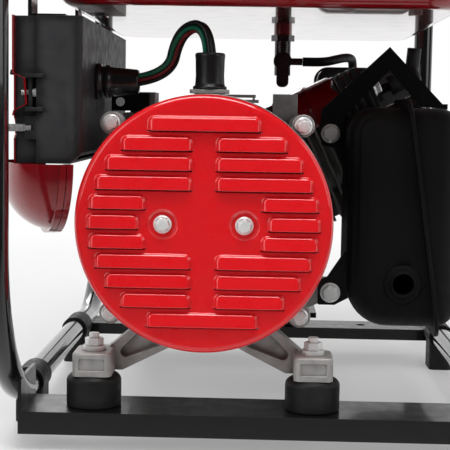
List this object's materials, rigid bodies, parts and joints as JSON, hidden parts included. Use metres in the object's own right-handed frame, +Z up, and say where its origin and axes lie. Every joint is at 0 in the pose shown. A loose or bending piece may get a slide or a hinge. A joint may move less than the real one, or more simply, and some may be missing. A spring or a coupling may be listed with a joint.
{
  "type": "inverter generator",
  "caption": "Open-frame petrol generator: louvred alternator end, leaning finned cylinder, stamped muffler, side control box and tank in a tube frame",
  "frame": {"origin": "middle of the footprint on the floor, under the frame", "axes": "+Z up, +Y from the alternator end to the starter end (the long way), +X from the control panel to the cylinder head"},
  "size_m": [0.4228, 0.62, 0.448],
  "materials": {
    "frame_side_left": "black paint",
    "frame_side_right": "black paint",
    "frame_top_bars": "black paint",
    "cross_members": "black paint",
    "rubber_feet": "moulded black rubber",
    "vibration_mounts": "moulded black rubber",
    "mount_hardware": "zinc plated",
    "end_bracket": "as cast, blasted",
    "alternator_cover": "glossy red enamel",
    "through_bolts": "zinc plated",
    "stator_core": "machined steel",
    "stator_coils": "varnished copper wire",
    "rotor": "machined steel",
    "alternator_fan": "textured black plastic",
    "bearing_outer_sets": "machined steel",
    "front_bracket": "as cast, blasted",
    "cable_sleeve": "moulded black rubber",
    "wire_harness": "moulded black rubber",
    "cable_boot": "moulded black rubber",
    "crankcase": "as cast, blasted",
    "crankcase_cover": "as cast, blasted",
    "cylinder_head": "black painted casting",
    "valve_cover": "black paint",
    "valve_train": "machined steel",
    "crankshaft": "machined steel",
    "connecting_rod": "as cast, blasted",
    "piston": "as cast, blasted",
    "camshaft": "machined steel",
    "flywheel": "as cast, blasted",
    "ignition_coil": "textured black plastic",
    "blower_housing": "glossy red enamel",
    "cylinder_shroud": "glossy red enamel",
    "recoil_housing": "glossy red enamel",
    "starter_pulley": "textured black plastic",
    "starter_handle": "moulded black rubber",
    "spark_plug": "moulded black rubber",
    "carburettor": "as cast, blasted",
    "choke_lever": "textured black plastic",
    "air_cleaner": "textured black plastic",
    "governor_arm": "zinc plated",
    "oil_dipstick": "textured black plastic",
    "muffler_inner_half": "matt black heat paint",
    "muffler_outer_half": "matt black heat paint",
    "exhaust_pipe": "matt black heat paint",
    "engine_brackets": "black paint",
    "fuel_tank": "glossy red enamel",
    "fuel_cap": "textured black plastic",
    "fuel_valve": "textured black plastic",
    "fuel_valve_lever": "textured black plastic",
    "fuel_hose": "moulded black rubber",
    "control_panel": "glossy red enamel",
    "control_box": "textured black plastic",
    "panel_cowl": "glossy red enamel",
    "receptacles": "textured black plastic",
    "engine_switch": "textured black plastic",
    "breaker_toggle": "textured black plastic",
    "reset_button": "textured black plastic",
    "panel_hardware": "textured black plastic",
    "inverter_module": "as cast, blasted",
    "flange_bolts": "zinc plated"
  },
  "bodies": {
    "frame": {"frame_side_left": "frame_side_left", "frame_side_right": "frame_side_right", "frame_top_bars": "frame_top_bars", "cross_members": "cross_members", "rubber_feet": "rubber_feet", "vibration_mounts": "vibration_mounts", "mount_hardware": "mount_hardware", "end_bracket": "end_bracket", "alternator_cover": "alternator_cover", "through_bolts": "through_bolts", "stator_core": "stator_core", "stator_coils": "stator_coils", "bearing_outer_sets": "bearing_outer_sets", "front_bracket": "front_bracket", "cable_sleeve": "cable_sleeve", "wire_harness": "wire_harness", "cable_boot": "cable_boot", "crankcase": "crankcase", "crankcase_cover": "crankcase_cover", "cylinder_head": "cylinder_head", "valve_cover": "valve_cover", "valve_train": "valve_train", "connecting_rod": "connecting_rod", "piston": "piston", "ignition_coil": "ignition_coil", "blower_housing": "blower_housing", "cylinder_shroud": "cylinder_shroud", "recoil_housing": "recoil_housing", "spark_plug": "spark_plug", "carburettor": "carburettor", "air_cleaner": "air_cleaner", "muffler_inner_half": "muffler_inner_half", "muffler_outer_half": "muffler_outer_half", "exhaust_pipe": "exhaust_pipe", "engine_brackets": "engine_brackets", "fuel_tank": "fuel_tank", "fuel_valve": "fuel_valve", "fuel_hose": "fuel_hose", "control_panel": "control_panel", "control_box": "control_box", "panel_cowl": "panel_cowl", "receptacles": "receptacles", "panel_hardware": "panel_hardware", "inverter_module": "inverter_module", "flange_bolts": "flange_bolts"},
    "crank": {"crankshaft": "crankshaft", "rotor": "rotor", "alternator_fan": "alternator_fan", "flywheel": "flywheel"},
    "cam": {"camshaft": "camshaft"},
    "handle": {"starter_handle": "starter_handle"},
    "pulley": {"starter_pulley": "starter_pulley"},
    "cap": {"fuel_cap": "fuel_cap"},
    "dipstick": {"oil_dipstick": "oil_dipstick"},
    "valve_lever": {"fuel_valve_lever": "fuel_valve_lever"},
    "choke": {"choke_lever": "choke_lever"},
    "governor": {"governor_arm": "governor_arm"},
    "rocker": {"engine_switch": "engine_switch"},
    "toggle": {"breaker_toggle": "breaker_toggle"},
    "button": {"reset_button": "reset_button"}
  },
  "joints": [
    {"name": "crank_spin", "type": "hinge", "parent": "frame", "child": "crank", "pos_m": [-0.043, 0.048, 0.181], "axis": [0, 1, 0], "continuous": true},
    {"name": "cam_spin", "type": "hinge", "parent": "frame", "child": "cam", "pos_m": [-0.016, 0.048, 0.13423], "axis": [0, 1, 0], "continuous": true},
    {"name": "starter_pull", "type": "slide", "parent": "frame", "child": "handle", "axis": [-1, 0, 0], "range_m": [0, 0.55], "stiffness_N_per_m": 8, "springref_m": -0.3},
    {"name": "pulley_spin", "type": "hinge", "parent": "frame", "child": "pulley", "pos_m": [-0.043, 0.2065, 0.181], "axis": [0, 1, 0], "range_deg": [-732.9, 0]},
    {"name": "fuel_cap_turn", "type": "hinge", "parent": "frame", "child": "cap", "pos_m": [0.01, -0.07, 0.43], "axis": [0, 0, 1], "range_deg": [0, 90]},
    {"name": "dipstick_turn", "type": "hinge", "parent": "frame", "child": "dipstick", "pos_m": [0.035, 0.078, 0.107], "axis": [0.766, 0, 0.6428], "range_deg": [0, 360]},
    {"name": "fuel_valve_turn", "type": "hinge", "parent": "frame", "child": "valve_lever", "pos_m": [0.02, 0.03, 0.32], "axis": [0, 1, 0], "range_deg": [0, 90]},
    {"name": "choke_swing", "type": "hinge", "parent": "frame", "child": "choke", "pos_m": [0.103, 0.135, 0.27], "axis": [0, 0, -1], "range_deg": [0, 35]},
    {"name": "governor_swing", "type": "hinge", "parent": "frame", "child": "governor", "pos_m": [-0.048, 0.02, 0.265], "axis": [0, 0, 1], "range_deg": [-12, 12], "stiffness_Nm_per_rad": 0.02},
    {"name": "switch_rock", "type": "hinge", "parent": "frame", "child": "rocker", "pos_m": [-0.194, -0.205, 0.305], "axis": [0, -1, 0], "range_deg": [0, 16]},
    {"name": "breaker_flip", "type": "hinge", "parent": "frame", "child": "toggle", "pos_m": [-0.19, -0.16, 0.3], "axis": [0, 1, 0], "range_deg": [0, 40]},
    {"name": "reset_push", "type": "slide", "parent": "frame", "child": "button", "axis": [1, 0, 0], "range_m": [0, 0.002], "stiffness_N_per_m": 150, "springref_m": -0.001}
  ],
  "couplings": [
    {"joint": "cam_spin", "follows": "crank_spin", "ratio": -0.5},
    {"joint": "pulley_spin", "follows": "starter_pull", "rad_per_m": -23.256}
  ]
}
